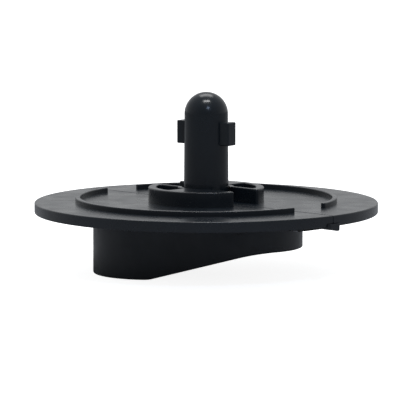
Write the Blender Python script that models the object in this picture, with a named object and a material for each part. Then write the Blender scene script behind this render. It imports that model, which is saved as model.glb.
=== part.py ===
"""Quarter-turn twist-lock plate: a split round plate closed round a bayonet spindle, with a wedge grip below.

Metres, +Z up. The spindle's axis is the Z axis and the grip's deep end rests on Z = 0. The grip's long side
lies along X. The plate's seam runs at SEAM_ANGLE: seam pieces are modelled with the seam along X, then turned.
"""

import math

import bmesh
import bpy
from mathutils import Matrix

MM = 0.001
GAP = 0.3 * MM

# Driving dimensions: plate
PLATE_RADIUS = 60.0 * MM
PLATE_THICKNESS = 3.7 * MM
RIM_CHAMFER = 0.4 * MM
SEAM_ANGLE = math.radians(-45.0)
RIB_OUTER_RADIUS = 45.7 * MM
RIB_WIDTH = 1.65 * MM
RIB_HEIGHT = 1.75 * MM
FRONT_RIB_DEG = (187.7, 356.0)
REAR_RIB_DEG = (17.5, 169.0)
COLLAR_RADIUS = 20.2 * MM
COLLAR_HEIGHT = 5.2 * MM
COLLAR_WALL = 2.7 * MM
POCKET_WALL = 1.5 * MM
POCKET_WEB = 1.0 * MM
CHANNEL_HALF_WIDTH = 5.5 * MM
BAY_RADIUS = 8.4 * MM
POCKET_FLOOR_DROP = 0.4 * MM

# Driving dimensions: grip
GRIP_DEPTH = 21.0 * MM
GRIP_SHALLOW_RISE = 9.1 * MM
GRIP_END_RADIUS = 20.5 * MM
GRIP_CENTRE_X = -2.9 * MM
GRIP_END_OFFSET = 16.2 * MM
RAMP_START_X = -19.9 * MM
RAMP_END_X = 17.8 * MM
GRIP_WALL = 2.4 * MM
LEDGE_WALL = 1.2 * MM
LID_THICKNESS = 3.0 * MM

# Driving dimensions: spindle
SPINDLE_HEIGHT = 38.3 * MM
SPINDLE_BASE_RADIUS = 7.85 * MM
SPINDLE_TIP_RADIUS = 7.6 * MM
JOURNAL_RADIUS = 6.9 * MM
LUG_ANGLE = math.radians(-35.0)
LUG_REACH = 11.0 * MM
LUG_THICKNESS = 4.8 * MM
LUG_BOTTOM = 20.0 * MM
LUG_TOP = 28.1 * MM
FOOT_SIDE = 9.8 * MM
FOOT_BOTTOM = 12.4 * MM

# Driving dimensions: latch, straps and screws
LATCH_HALF_WIDTH = 2.9 * MM
LATCH_EAR = 4.2 * MM
LATCH_REACH = 60.9 * MM
LATCH_DROP = 1.65 * MM
STRAP_THICKNESS = 1.6 * MM
TURN_DEG = 90.0

# Levels and radii worked out from them
PLATE_BOTTOM = GRIP_DEPTH + GAP
PLATE_TOP = PLATE_BOTTOM + PLATE_THICKNESS
COLLAR_TOP = PLATE_TOP + COLLAR_HEIGHT
SPINDLE_TOP = PLATE_TOP + SPINDLE_HEIGHT
LID_BOTTOM = GRIP_DEPTH - LID_THICKNESS
STRAP_TOP = PLATE_BOTTOM - GAP
STRAP_BOTTOM = STRAP_TOP - STRAP_THICKNESS
PILOT_TOP = PLATE_TOP - 0.6 * MM
BUSH_INNER = JOURNAL_RADIUS + GAP
BUSH_OUTER = BUSH_INNER + 0.8 * MM
BUSH_FLANGE_RADIUS = 12.0 * MM
BUSH_FLANGE_BOTTOM = STRAP_TOP - 0.8 * MM
WASHER_BOTTOM = BUSH_FLANGE_BOTTOM - GAP - 0.8 * MM
CUP_FLOOR = 17.3 * MM
CUP_RADIUS = 12.8 * MM
HUB_RADIUS = 15.0 * MM
HUB_BOTTOM = 15.3 * MM
GROOVE_TOP = PLATE_BOTTOM + 1.3 * MM
STOP_PIN_ORBIT = 15.5 * MM
STOP_PIN_RADIUS = 1.2 * MM
STOP_GROOVE_TOP = PLATE_BOTTOM + 1.6 * MM
LATCH_TOP = GROOVE_TOP - GAP
LATCH_INNER_X = 47.3 * MM
LATCH_EAR_END_X = 48.8 * MM
LATCH_STEP_X = 54.4 * MM
TOOTH_START_X = 54.0 * MM
TOOTH_CORNER = 1.0 * MM
TOOTH_RAMP = ((-2.9 * MM, 20.8 * MM), (1.8 * MM, 19.65 * MM))
LATCH_THIN_BOTTOM = 20.5 * MM
LATCH_CHANNEL_FLOOR = LATCH_THIN_BOTTOM - GAP
CHANNEL_START_X = 43.0 * MM
GUIDE_X = (42.0 * MM, 52.0 * MM)
GUIDE_HALF_WIDTH = 8.0 * MM
GUIDE_SCREWS = [(x * MM, y * MM) for x in (44.2, 49.8) for y in (-6.3, 6.3)]
TIE_X = (-54.0 * MM, -43.0 * MM)
TIE_HALF_WIDTH = 7.0 * MM
TIE_SCREWS = [(x * MM, y * MM) for x in (-51.0, -46.0) for y in (-4.4, 4.4)]
LID_SCREWS = [(x * MM, y * MM) for x in (-30.0, 24.0) for y in (-9.0, 9.0)]
LID_BOSS_RADIUS = 3.2 * MM
SHANK_RADIUS = 1.0 * MM
HEAD_RADIUS = 1.9 * MM
HEAD_RIM = 0.3 * MM
SOCKET_FLOOR = FOOT_BOTTOM - GAP
SOCKET_HALF = FOOT_SIDE / 2 + GAP
COUNTERBORE_TOP = 10.1 * MM
COUNTERBORE_RADIUS = 4.8 * MM
INSERT_RADIUS = 3.1 * MM
INSERT_HOLE_TOP = 22.0 * MM
SCREW_HOLE_RADIUS = 2.3 * MM
LID_PILOT_BOTTOM = 13.2 * MM
LID_HEAD_RADIUS = 2.2 * MM
LID_HEAD_SEAT = GRIP_DEPTH - 1.6 * MM
PIN_BOTTOM = 18.3 * MM
BOSS_RADIUS = 9.5 * MM
FAR = 90.0 * MM


# Materials

def material(name, colour, roughness, metallic=0.0):
    found = bpy.data.materials.get(name)
    if found:
        return found
    made = bpy.data.materials.new(name)
    made.use_nodes = True
    shader = made.node_tree.nodes["Principled BSDF"]
    shader.inputs["Base Color"].default_value = (*colour, 1.0)
    shader.inputs["Roughness"].default_value = roughness
    shader.inputs["Metallic"].default_value = metallic
    made.diffuse_color = (*colour, 1.0)
    return made


def black_gloss():
    return material("black_gloss_plastic", (0.012, 0.014, 0.016), 0.28)


def black_matte():
    return material("black_matte_plastic", (0.020, 0.020, 0.021), 0.50)


def white_acetal():
    return material("natural_acetal", (0.72, 0.71, 0.66), 0.40)


def steel():
    return material("bright_steel", (0.56, 0.57, 0.58), 0.30, 1.0)


def brass():
    return material("brass", (0.62, 0.46, 0.20), 0.32, 1.0)


# Solids

def add(name, build, finish):
    """Makes the object called name from a bmesh that build fills, with its faces turned outwards."""
    mesh = bpy.data.meshes.new(name)
    shape = bmesh.new()
    build(shape)
    bmesh.ops.recalc_face_normals(shape, faces=shape.faces)
    shape.to_mesh(mesh)
    shape.free()
    mesh.materials.append(finish)
    mesh.shade_smooth()
    mesh.set_sharp_from_angle(angle=math.radians(30.0))
    obj = bpy.data.objects.new(name, mesh)
    bpy.context.scene.collection.objects.link(obj)
    return obj


def prism(name, outline, low, high, finish):
    """An outline of (x, y) points extruded from z = low to z = high."""
    def build(shape):
        bottom = [shape.verts.new((x, y, low)) for x, y in outline]
        top = [shape.verts.new((x, y, high)) for x, y in outline]
        shape.faces.new(bottom)
        shape.faces.new(top)
        for i, corner in enumerate(bottom):
            after = (i + 1) % len(bottom)
            shape.faces.new((corner, bottom[after], top[after], top[i]))
    return add(name, build, finish)


def turned(name, profile, finish, steps=48, centre=(0.0, 0.0)):
    """A closed profile of (radius, z) points turned round a vertical axis; radius 0 lies on that axis."""
    def build(shape):
        rings = []
        for radius, z in profile:
            if radius == 0.0:
                rings.append([shape.verts.new((*centre, z))] * steps)
                continue
            angles = [2.0 * math.pi * i / steps for i in range(steps)]
            rings.append([
                shape.verts.new((centre[0] + radius * math.cos(a), centre[1] + radius * math.sin(a), z))
                for a in angles
            ])
        for here, there in zip(rings, rings[1:] + rings[:1]):
            for i in range(steps):
                after = (i + 1) % steps
                corners = dict.fromkeys((here[i], here[after], there[after], there[i]))
                if len(corners) > 2:
                    shape.faces.new(list(corners))
    return add(name, build, finish)


def box(name, low, high, finish):
    outline = [(low[0], low[1]), (high[0], low[1]), (high[0], high[1]), (low[0], high[1])]
    return prism(name, outline, low[2], high[2], finish)


def hide(helper):
    helper.hide_render = True
    helper.display_type = "WIRE"


def combine(target, helper, operation):
    change = target.modifiers.new(f"{operation.lower()} {helper.name}", "BOOLEAN")
    change.operation = operation
    change.solver = "EXACT"
    change.object = helper
    hide(helper)
    return target


def cut(target, helper):
    return combine(target, helper, "DIFFERENCE")


def join(target, helper):
    return combine(target, helper, "UNION")


def arc(radius, start, end, steps, centre=(0.0, 0.0)):
    """Points from angle start to angle end in radians, ends included."""
    angles = [start + (end - start) * i / steps for i in range(steps + 1)]
    return [(centre[0] + radius * math.cos(a), centre[1] + radius * math.sin(a)) for a in angles]


def sector(inner, outer, start_deg, end_deg, steps):
    start, end = math.radians(start_deg), math.radians(end_deg)
    return arc(outer, start, end, steps) + arc(inner, end, start, steps)


def obround(inset):
    """The grip's plan outline, moved inwards by inset."""
    radius = GRIP_END_RADIUS - inset
    right = arc(radius, -math.pi / 2, math.pi / 2, 20, (GRIP_CENTRE_X + GRIP_END_OFFSET, 0.0))
    left = arc(radius, math.pi / 2, 3 * math.pi / 2, 20, (GRIP_CENTRE_X - GRIP_END_OFFSET, 0.0))
    return right + left


def upright_prism(name, side, finish):
    """A side view of (x, z) points extruded right through along Y."""
    helper = prism(name, side, -FAR, FAR, finish)
    helper.data.transform(Matrix.Rotation(math.pi / 2, 4, "X"))
    return helper


def lengthwise_prism(name, section, start, end, finish):
    """A cross-section of (y, z) points extruded along X from start to end."""
    helper = prism(name, section, start, end, finish)
    helper.data.transform(Matrix(((0, 0, 1), (1, 0, 0), (0, 1, 0))).to_4x4())
    return helper


def under_ramp(name, rise):
    """Everything lower than the grip's sloping underside raised by rise, as a helper."""
    side = [
        (-FAR, -FAR), (FAR, -FAR), (FAR, GRIP_SHALLOW_RISE + rise), (RAMP_END_X, GRIP_SHALLOW_RISE + rise),
        (RAMP_START_X, rise), (-FAR, rise),
    ]
    return upright_prism(name, side, black_gloss())


def seam_aligned(obj):
    """Turns an object, modelled with the seam along X, and its helpers to the seam's real direction."""
    obj.rotation_euler.z = SEAM_ANGLE
    for change in obj.modifiers:
        change.object.rotation_euler.z = SEAM_ANGLE
    return obj


def latch_run(name, start, low, high):
    """The T-shaped space that the latch slides in, wide where its ears travel, as a helper."""
    ear, run, step = LATCH_EAR + GAP, LATCH_HALF_WIDTH + GAP, LATCH_EAR_END_X + GAP
    upper = [(FAR, run), (step, run), (step, ear), (start, ear)]
    lower = [(x, -y) for x, y in reversed(upper)]
    return prism(name, upper + lower, low, high, black_gloss())


# Plate

def boss_outline(outer, flat, bay, side):
    """The D of one half collar: an outer arc, a flat beside the seam and a bay round the spindle."""
    out, turn = math.asin(flat / outer), math.asin(flat / bay)
    points = arc(outer, out, math.pi - out, 28) + arc(bay, math.pi - turn, turn, 16)
    return [(x, side * y) for x, y in points]


def pocket_outline(side, steps=14):
    """The hollow quarter of a half collar, between its outer wall, seam wall, bay wall and a web."""
    outer, bay, flat = COLLAR_RADIUS - COLLAR_WALL, BAY_RADIUS + POCKET_WALL, CHANNEL_HALF_WIDTH + POCKET_WALL
    points = arc(outer, math.asin(flat / outer), math.acos(POCKET_WEB / outer), steps)
    points += arc(bay, math.acos(POCKET_WEB / bay), math.asin(flat / bay), steps)
    return [(side * x, side * y) for x, y in points]


def half_plate(name, side, rib_deg):
    """One half of the split plate. side is +1 for the half on the seam's +Y side and -1 for the other."""
    bore = BUSH_OUTER + GAP
    edge = PLATE_RADIUS - RIM_CHAMFER
    profile = [
        (bore, PLATE_TOP), (edge, PLATE_TOP), (PLATE_RADIUS, PLATE_TOP - RIM_CHAMFER),
        (PLATE_RADIUS, PLATE_BOTTOM + RIM_CHAMFER), (edge, PLATE_BOTTOM), (bore, PLATE_BOTTOM),
    ]
    plate = turned(name, profile, black_gloss(), 96)
    near, far = sorted((side * GAP / 2, -side * FAR))
    cut(plate, box(f"{name}.other_half", (-FAR, near, -FAR), (FAR, far, FAR), black_gloss()))
    sink = PLATE_TOP - PLATE_THICKNESS / 2
    rib = sector(RIB_OUTER_RADIUS - RIB_WIDTH, RIB_OUTER_RADIUS, *rib_deg, 48)
    join(plate, prism(f"{name}.rib", rib, sink, PLATE_TOP + RIB_HEIGHT, black_gloss()))
    boss = boss_outline(COLLAR_RADIUS, CHANNEL_HALF_WIDTH, BAY_RADIUS, side)
    join(plate, prism(f"{name}.boss", boss, sink, COLLAR_TOP, black_gloss()))
    floor = PLATE_TOP - POCKET_FLOOR_DROP
    cut(plate, prism(f"{name}.pocket", pocket_outline(side), floor, FAR, black_gloss()))
    cut(plate, latch_run(f"{name}.latch_run", GUIDE_X[0], 0.0, GROOVE_TOP))
    for i, (x, y) in enumerate(GUIDE_SCREWS + TIE_SCREWS):
        if y * side > 0.0:
            radius = SHANK_RADIUS + GAP
            hole = [(0.0, 0.0), (radius, 0.0), (radius, PILOT_TOP), (0.0, PILOT_TOP)]
            cut(plate, turned(f"{name}.pilot_{i}", hole, black_gloss(), 12, (x, y)))
    return seam_aligned(plate)


def stop_groove(plate):
    """The arc that the stop pin runs in, from the grip's rest angle through its turn, with some spare."""
    spare = math.degrees((STOP_PIN_RADIUS + 1.4 * GAP) / STOP_PIN_ORBIT)
    half = STOP_PIN_RADIUS + 1.2 * GAP
    inner, outer = STOP_PIN_ORBIT - half, STOP_PIN_ORBIT + half
    outline = sector(inner, outer, 180.0 - spare, 180.0 + TURN_DEG + spare, 24)
    cut(plate, prism("front_half_plate.stop_groove", outline, 0.0, STOP_GROOVE_TOP, black_gloss()))


def bush_half(name, side):
    profile = [
        (BUSH_INNER, PLATE_TOP), (BUSH_OUTER, PLATE_TOP), (BUSH_OUTER, STRAP_TOP),
        (BUSH_FLANGE_RADIUS, STRAP_TOP), (BUSH_FLANGE_RADIUS, BUSH_FLANGE_BOTTOM),
        (BUSH_INNER, BUSH_FLANGE_BOTTOM),
    ]
    bush = turned(name, profile, white_acetal(), 32)
    near, far = sorted((side * GAP / 2, -side * FAR))
    cut(bush, box(f"{name}.other_half", (-FAR, near, -FAR), (FAR, far, FAR), white_acetal()))
    return seam_aligned(bush)


# Latch and straps

def countersunk_profile(spare):
    """Profile of a countersunk screw in a strap, or of its clearance hole when spare is the gap round it."""
    head, shank = HEAD_RADIUS + spare, SHANK_RADIUS + spare
    low = STRAP_BOTTOM + (GAP / 3 if spare == 0.0 else -GAP)
    cone_low = STRAP_BOTTOM + HEAD_RIM
    cone_high = cone_low + HEAD_RADIUS - SHANK_RADIUS
    top = PILOT_TOP - GAP
    return [(0.0, low), (head, low), (head, cone_low), (shank, cone_high), (shank, top), (0.0, top)]


def strap(name, x_range, half_width, screws):
    low = (x_range[0], -half_width, STRAP_BOTTOM)
    made = box(name, low, (x_range[1], half_width, STRAP_TOP), black_matte())
    for i, place in enumerate(screws):
        cut(made, turned(f"{name}.hole_{i}", countersunk_profile(GAP), black_matte(), 16, place))
    return made


def latch_guide():
    guide = strap("latch_guide", GUIDE_X, GUIDE_HALF_WIDTH, GUIDE_SCREWS)
    cut(guide, latch_run("latch_guide.run", CHANNEL_START_X, LATCH_CHANNEL_FLOOR, PLATE_TOP))
    return seam_aligned(guide)


def rim_latch():
    """The sliding bar: two ears inside the guide, a thin run and a tooth with a ramp across its underside."""
    side, end = LATCH_HALF_WIDTH - TOOTH_CORNER, LATCH_REACH - TOOTH_CORNER
    nose = arc(TOOTH_CORNER, -math.pi / 2, 0.0, 5, (end, -side))
    nose += arc(TOOTH_CORNER, 0.0, math.pi / 2, 5, (end, side))
    outline = nose + [
        (LATCH_EAR_END_X, LATCH_HALF_WIDTH), (LATCH_EAR_END_X, LATCH_EAR), (LATCH_INNER_X, LATCH_EAR),
        (LATCH_INNER_X, -LATCH_EAR), (LATCH_EAR_END_X, -LATCH_EAR), (LATCH_EAR_END_X, -LATCH_HALF_WIDTH),
    ]
    bar = prism("rim_latch", outline, PLATE_BOTTOM - LATCH_DROP, LATCH_TOP, black_gloss())
    relief = [(0.0, 0.0), (LATCH_STEP_X, 0.0), (LATCH_STEP_X, LATCH_THIN_BOTTOM), (0.0, LATCH_THIN_BOTTOM)]
    cut(bar, upright_prism("rim_latch.relief", relief, black_gloss()))
    (high_y, high_z), (low_y, low_z) = TOOTH_RAMP
    beyond = high_z + (high_z - low_z)
    section = [(2 * high_y - low_y, beyond), (2 * high_y - low_y, 0.0), (low_y, 0.0), (low_y, low_z)]
    cut(bar, lengthwise_prism("rim_latch.ramp", section, TOOTH_START_X, FAR, black_gloss()))
    return seam_aligned(bar)


def coil(name, start, end, mean_radius, wire_radius, turns, finish):
    """A compression spring along X from start to end, as one closed tube."""
    around, per_turn = 6, 10
    height = (LATCH_CHANNEL_FLOOR + GROOVE_TOP) / 2

    def build(shape):
        rings = []
        count = turns * per_turn
        for i in range(count + 1):
            angle = 2.0 * math.pi * i / per_turn
            along = start + wire_radius + (end - start - 2.0 * wire_radius) * i / count
            ring = []
            for k in range(around):
                turn = 2.0 * math.pi * k / around
                radius = mean_radius + wire_radius * math.cos(turn)
                place = (along + wire_radius * math.sin(turn), radius * math.cos(angle))
                ring.append(shape.verts.new((*place, height + radius * math.sin(angle))))
            rings.append(ring)
        shape.faces.new(rings[0])
        shape.faces.new(rings[-1])
        for here, there in zip(rings, rings[1:]):
            for k in range(around):
                after = (k + 1) % around
                shape.faces.new((here[k], here[after], there[after], there[k]))
    return add(name, build, finish)


def latch_spring():
    start, end = CHANNEL_START_X + GAP, LATCH_INNER_X - GAP
    return seam_aligned(coil("latch_spring", start, end, 0.75 * MM, 0.18 * MM, 6, steel()))


# Spindle

def spindle():
    """A round post with a domed end and two lugs, a shoulder just above the bush, and a square foot."""
    journal_end, shoulder = CUP_FLOOR + GAP, PLATE_TOP + GAP
    dome = arc(SPINDLE_TIP_RADIUS, 0.0, math.pi / 2, 9, (0.0, SPINDLE_TOP - SPINDLE_TIP_RADIUS))
    profile = [
        (0.0, journal_end), (JOURNAL_RADIUS, journal_end), (JOURNAL_RADIUS, shoulder),
        (SPINDLE_BASE_RADIUS, shoulder),
    ]
    post = turned("spindle", profile + dome[:-1] + [(0.0, SPINDLE_TOP)], black_gloss(), 48)
    low = (-LUG_REACH, -LUG_THICKNESS / 2, PLATE_TOP + LUG_BOTTOM)
    high = (LUG_REACH, LUG_THICKNESS / 2, PLATE_TOP + LUG_TOP)
    lugs = box("spindle.lugs", low, high, black_gloss())
    lugs.rotation_euler.z = LUG_ANGLE
    join(post, lugs)
    half = FOOT_SIDE / 2
    low, high = (-half, -half, FOOT_BOTTOM), (half, half, journal_end + 1.0 * MM)
    join(post, box("spindle.foot", low, high, black_gloss()))
    radius = INSERT_RADIUS + GAP
    hole = [(0.0, 0.0), (radius, 0.0), (radius, INSERT_HOLE_TOP), (0.0, INSERT_HOLE_TOP)]
    return cut(post, turned("spindle.insert_hole", hole, black_gloss(), 24))


def ring(name, inner, outer, low, high, finish, steps=32):
    return turned(name, [(inner, high), (outer, high), (outer, low), (inner, low)], finish, steps)


def wave_spring():
    """A flat ring bent into four waves between the thrust washer and the lid's cup."""
    steps, waves, thick, lift = 48, 4, 0.35 * MM, 0.25 * MM
    middle = (CUP_FLOOR + WASHER_BOTTOM) / 2

    def build(shape):
        loops = []
        for radius, offset in ((8.4, 0.5), (12.2, 0.5), (12.2, -0.5), (8.4, -0.5)):
            loop = []
            for i in range(steps):
                angle = 2.0 * math.pi * i / steps
                z = middle + lift * math.cos(waves * angle) + offset * thick
                x, y = radius * MM * math.cos(angle), radius * MM * math.sin(angle)
                loop.append(shape.verts.new((x, y, z)))
            loops.append(loop)
        for here, there in zip(loops, loops[1:] + loops[:1]):
            for i in range(steps):
                after = (i + 1) % steps
                shape.faces.new((here[i], here[after], there[after], there[i]))
    return add("wave_spring", build, steel())


def spindle_screw():
    """Pan-head screw that pulls the spindle down into the grip, with a cross recess in its head."""
    head_low, head_high, head_radius = 6.9 * MM, 8.9 * MM, 3.8 * MM
    shank_radius, shank_top = SCREW_HOLE_RADIUS - GAP, 20.5 * MM
    profile = [
        (0.0, head_low), (head_radius - 0.6 * MM, head_low), (head_radius, head_low + 0.6 * MM),
        (head_radius, head_high), (shank_radius, head_high), (shank_radius, shank_top), (0.0, shank_top),
    ]
    screw = turned("spindle_screw", profile, steel(), 24)
    for i, (x, y) in enumerate(((2.0, 0.4), (0.4, 2.0))):
        low, high = (-x * MM, -y * MM, 0.0), (x * MM, y * MM, head_low + 0.9 * MM)
        cut(screw, box(f"spindle_screw.slot_{i}", low, high, steel()))
    return screw


# Grip

def grip_shell():
    shell = prism("grip_shell", obround(0.0), -1.0 * MM, GRIP_DEPTH, black_gloss())
    cut(shell, under_ramp("grip_shell.underside", 0.0))
    cavity = prism("grip_shell.cavity", obround(GRIP_WALL), 0.0, FAR, black_gloss())
    cut(cavity, under_ramp("grip_shell.floor", GRIP_WALL))
    cut(shell, cavity)
    cut(shell, prism("grip_shell.rebate", obround(LEDGE_WALL), LID_BOTTOM - GAP, FAR, black_gloss()))
    circle = arc(BOSS_RADIUS, 0.0, 2.0 * math.pi, 32)[:-1]
    boss = prism("grip_shell.boss", circle, 5.0 * MM, HUB_BOTTOM - GAP, black_gloss())
    cut(boss, under_ramp("grip_shell.boss_trim", 1.0 * MM))
    join(shell, boss)
    for i, place in enumerate(LID_SCREWS):
        level = 1.2 * MM + (GRIP_SHALLOW_RISE if place[0] > 0.0 else 0.0)
        top = LID_BOTTOM - GAP
        profile = [(0.0, level), (LID_BOSS_RADIUS, level), (LID_BOSS_RADIUS, top), (0.0, top)]
        join(shell, turned(f"grip_shell.screw_boss_{i}", profile, black_gloss(), 16, place))
        radius = SHANK_RADIUS + GAP
        hole = [(0.0, LID_PILOT_BOTTOM), (radius, LID_PILOT_BOTTOM), (radius, FAR), (0.0, FAR)]
        cut(shell, turned(f"grip_shell.pilot_{i}", hole, black_gloss(), 12, place))
    low, high = (-SOCKET_HALF, -SOCKET_HALF, SOCKET_FLOOR), (SOCKET_HALF, SOCKET_HALF, FAR)
    cut(shell, box("grip_shell.socket", low, high, black_gloss()))
    bore = [
        (0.0, -FAR), (COUNTERBORE_RADIUS, -FAR), (COUNTERBORE_RADIUS, COUNTERBORE_TOP),
        (SCREW_HOLE_RADIUS, COUNTERBORE_TOP), (SCREW_HOLE_RADIUS, SOCKET_FLOOR + MM),
        (0.0, SOCKET_FLOOR + MM),
    ]
    return cut(shell, turned("grip_shell.bore", bore, black_gloss(), 32))


def grip_lid():
    lid = prism("grip_lid", obround(LEDGE_WALL + GAP), LID_BOTTOM, GRIP_DEPTH, black_matte())
    hub_top = GRIP_DEPTH - 1.0 * MM
    hub = [(0.0, HUB_BOTTOM), (HUB_RADIUS, HUB_BOTTOM), (HUB_RADIUS, hub_top), (0.0, hub_top)]
    join(lid, turned("grip_lid.hub", hub, black_matte(), 40))
    cup = [(0.0, CUP_FLOOR), (CUP_RADIUS, CUP_FLOOR), (CUP_RADIUS, FAR), (0.0, FAR)]
    cut(lid, turned("grip_lid.cup", cup, black_matte(), 40))
    low, high = (-SOCKET_HALF, -SOCKET_HALF, 0.0), (SOCKET_HALF, SOCKET_HALF, FAR)
    cut(lid, box("grip_lid.socket", low, high, black_matte()))
    radius, low = STOP_PIN_RADIUS + GAP, PIN_BOTTOM - GAP
    pin = [(0.0, low), (radius, low), (radius, FAR), (0.0, FAR)]
    cut(lid, turned("grip_lid.pin_hole", pin, black_matte(), 16, (-STOP_PIN_ORBIT, 0.0)))
    for i, place in enumerate(LID_SCREWS):
        head, shank = LID_HEAD_RADIUS + GAP, SHANK_RADIUS + GAP
        hole = [
            (0.0, 0.0), (shank, 0.0), (shank, LID_HEAD_SEAT), (head, LID_HEAD_SEAT), (head, FAR), (0.0, FAR),
        ]
        cut(lid, turned(f"grip_lid.hole_{i}", hole, black_matte(), 16, place))
    return lid


def lid_screw(name, place):
    low, seat, head_top = LID_PILOT_BOTTOM + GAP, LID_HEAD_SEAT + GAP, GRIP_DEPTH - 0.2 * MM
    profile = [
        (0.0, low), (SHANK_RADIUS, low), (SHANK_RADIUS, seat), (LID_HEAD_RADIUS, seat),
        (LID_HEAD_RADIUS, head_top - 0.3 * MM), (LID_HEAD_RADIUS - 0.4 * MM, head_top), (0.0, head_top),
    ]
    return turned(name, profile, steel(), 16, place)


def screw_cap():
    """Plug in the counterbore, its face flush with the sloping underside."""
    radius = COUNTERBORE_RADIUS - GAP
    top = COUNTERBORE_TOP - 3.0 * MM
    cap = turned("screw_cap", [(0.0, 0.0), (radius, 0.0), (radius, top), (0.0, top)], black_matte(), 32)
    cut(cap, under_ramp("screw_cap.face", 0.0))
    slope = GRIP_SHALLOW_RISE / (RAMP_END_X - RAMP_START_X)
    middle = -RAMP_START_X * slope + 1.0 * MM
    above = [(-FAR, middle - FAR * slope), (FAR, middle + FAR * slope), (FAR, FAR), (-FAR, FAR)]
    return cut(cap, upright_prism("screw_cap.back", above, black_matte()))


# Assembly

def main():
    for leftover in list(bpy.data.objects):
        bpy.data.objects.remove(leftover, do_unlink=True)
    stop_groove(half_plate("front_half_plate", -1.0, FRONT_RIB_DEG))
    half_plate("rear_half_plate", 1.0, REAR_RIB_DEG)
    bush_half("front_bush_half", -1.0)
    bush_half("rear_bush_half", 1.0)
    latch_guide()
    rim_latch()
    latch_spring()
    seam_aligned(strap("seam_tie", TIE_X, TIE_HALF_WIDTH, TIE_SCREWS))
    for kind, places in (("guide", GUIDE_SCREWS), ("tie", TIE_SCREWS)):
        for i, place in enumerate(places, 1):
            seam_aligned(turned(f"{kind}_screw_{i}", countersunk_profile(0.0), steel(), 16, place))
    spindle()
    insert_top = INSERT_HOLE_TOP - 2.0 * MM
    ring("spindle_insert", SCREW_HOLE_RADIUS, INSERT_RADIUS, FOOT_BOTTOM, insert_top, brass(), 24)
    ring("thrust_washer", BUSH_INNER, 12.4 * MM, WASHER_BOTTOM, WASHER_BOTTOM + 0.8 * MM, white_acetal())
    wave_spring()
    pin_top = STOP_GROOVE_TOP - GAP
    pin = [(0.0, PIN_BOTTOM), (STOP_PIN_RADIUS, PIN_BOTTOM), (STOP_PIN_RADIUS, pin_top), (0.0, pin_top)]
    turned("stop_pin", pin, steel(), 16, (-STOP_PIN_ORBIT, 0.0))
    grip_shell()
    grip_lid()
    for i, place in enumerate(LID_SCREWS, 1):
        lid_screw(f"lid_screw_{i}", place)
    spindle_screw()
    washer_top = COUNTERBORE_TOP - GAP
    ring("spindle_screw_washer", SCREW_HOLE_RADIUS, 4.4 * MM, washer_top - 0.6 * MM, washer_top, steel(), 24)
    screw_cap()


main()
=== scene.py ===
"""Looks of the twist-lock spindle plate: black mouldings with rounded edges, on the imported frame."""

import math

import bmesh
import bpy
from mathutils import Matrix, Vector


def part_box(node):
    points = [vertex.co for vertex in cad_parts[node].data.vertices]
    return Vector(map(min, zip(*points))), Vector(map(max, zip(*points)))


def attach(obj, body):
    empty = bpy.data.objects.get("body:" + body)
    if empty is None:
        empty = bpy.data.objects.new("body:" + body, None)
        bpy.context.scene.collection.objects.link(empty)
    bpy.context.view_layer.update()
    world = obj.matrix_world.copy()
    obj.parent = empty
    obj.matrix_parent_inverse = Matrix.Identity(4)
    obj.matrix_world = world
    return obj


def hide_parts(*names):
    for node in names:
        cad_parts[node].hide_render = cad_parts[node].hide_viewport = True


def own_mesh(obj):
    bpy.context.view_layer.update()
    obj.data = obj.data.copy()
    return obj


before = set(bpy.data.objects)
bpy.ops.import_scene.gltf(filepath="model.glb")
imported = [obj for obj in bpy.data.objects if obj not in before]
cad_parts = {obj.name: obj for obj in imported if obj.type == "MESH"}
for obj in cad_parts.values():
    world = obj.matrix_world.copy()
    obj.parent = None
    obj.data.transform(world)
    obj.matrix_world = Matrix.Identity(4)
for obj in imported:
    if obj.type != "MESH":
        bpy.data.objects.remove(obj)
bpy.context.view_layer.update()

MM = 0.001
GAP = 0.3 * MM
FAR = 90.0 * MM
OVERLAP = 1.0 * MM
MERGE = 2e-7
SHARP_DEG = 38.0
COLLAR_HEIGHT = 5.2 * MM
WEAR_REACH = 0.3 * MM
SKIN_DEPTH, BRUSH_DEPTH = 0.05 * MM, 0.03 * MM

# Levels and radii read from the frame
PLATE_LOW, PLATE_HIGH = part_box("front_half_plate")
GRIP_LOW, GRIP_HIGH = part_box("grip_shell")
SPINDLE_LOW, SPINDLE_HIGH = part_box("spindle")
STRAP_LOW, STRAP_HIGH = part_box("seam_tie")
LATCH_LOW, LATCH_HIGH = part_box("rim_latch")
LID_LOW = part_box("grip_lid")[0]
SCREW_LOW, SCREW_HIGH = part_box("tie_screw_1")
PLATE_BOTTOM = PLATE_LOW.z
COLLAR_TOP = PLATE_HIGH.z
PLATE_TOP = COLLAR_TOP - COLLAR_HEIGHT
PLATE_RADIUS = -PLATE_LOW.x
GRIP_TOP = GRIP_HIGH.z
GRIP_END_RADIUS = GRIP_HIGH.y
GRIP_CENTRE_X = (GRIP_LOW.x + GRIP_HIGH.x) / 2
GRIP_END_OFFSET = (GRIP_HIGH.x - GRIP_LOW.x) / 2 - GRIP_END_RADIUS
SPINDLE_TOP = SPINDLE_HIGH.z
FOOT_BOTTOM = SPINDLE_LOW.z
STRAP_BOTTOM, STRAP_TOP = STRAP_LOW.z, STRAP_HIGH.z
LATCH_BOTTOM, LATCH_TOP = LATCH_LOW.z, LATCH_HIGH.z
HUB_BOTTOM = LID_LOW.z

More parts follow.
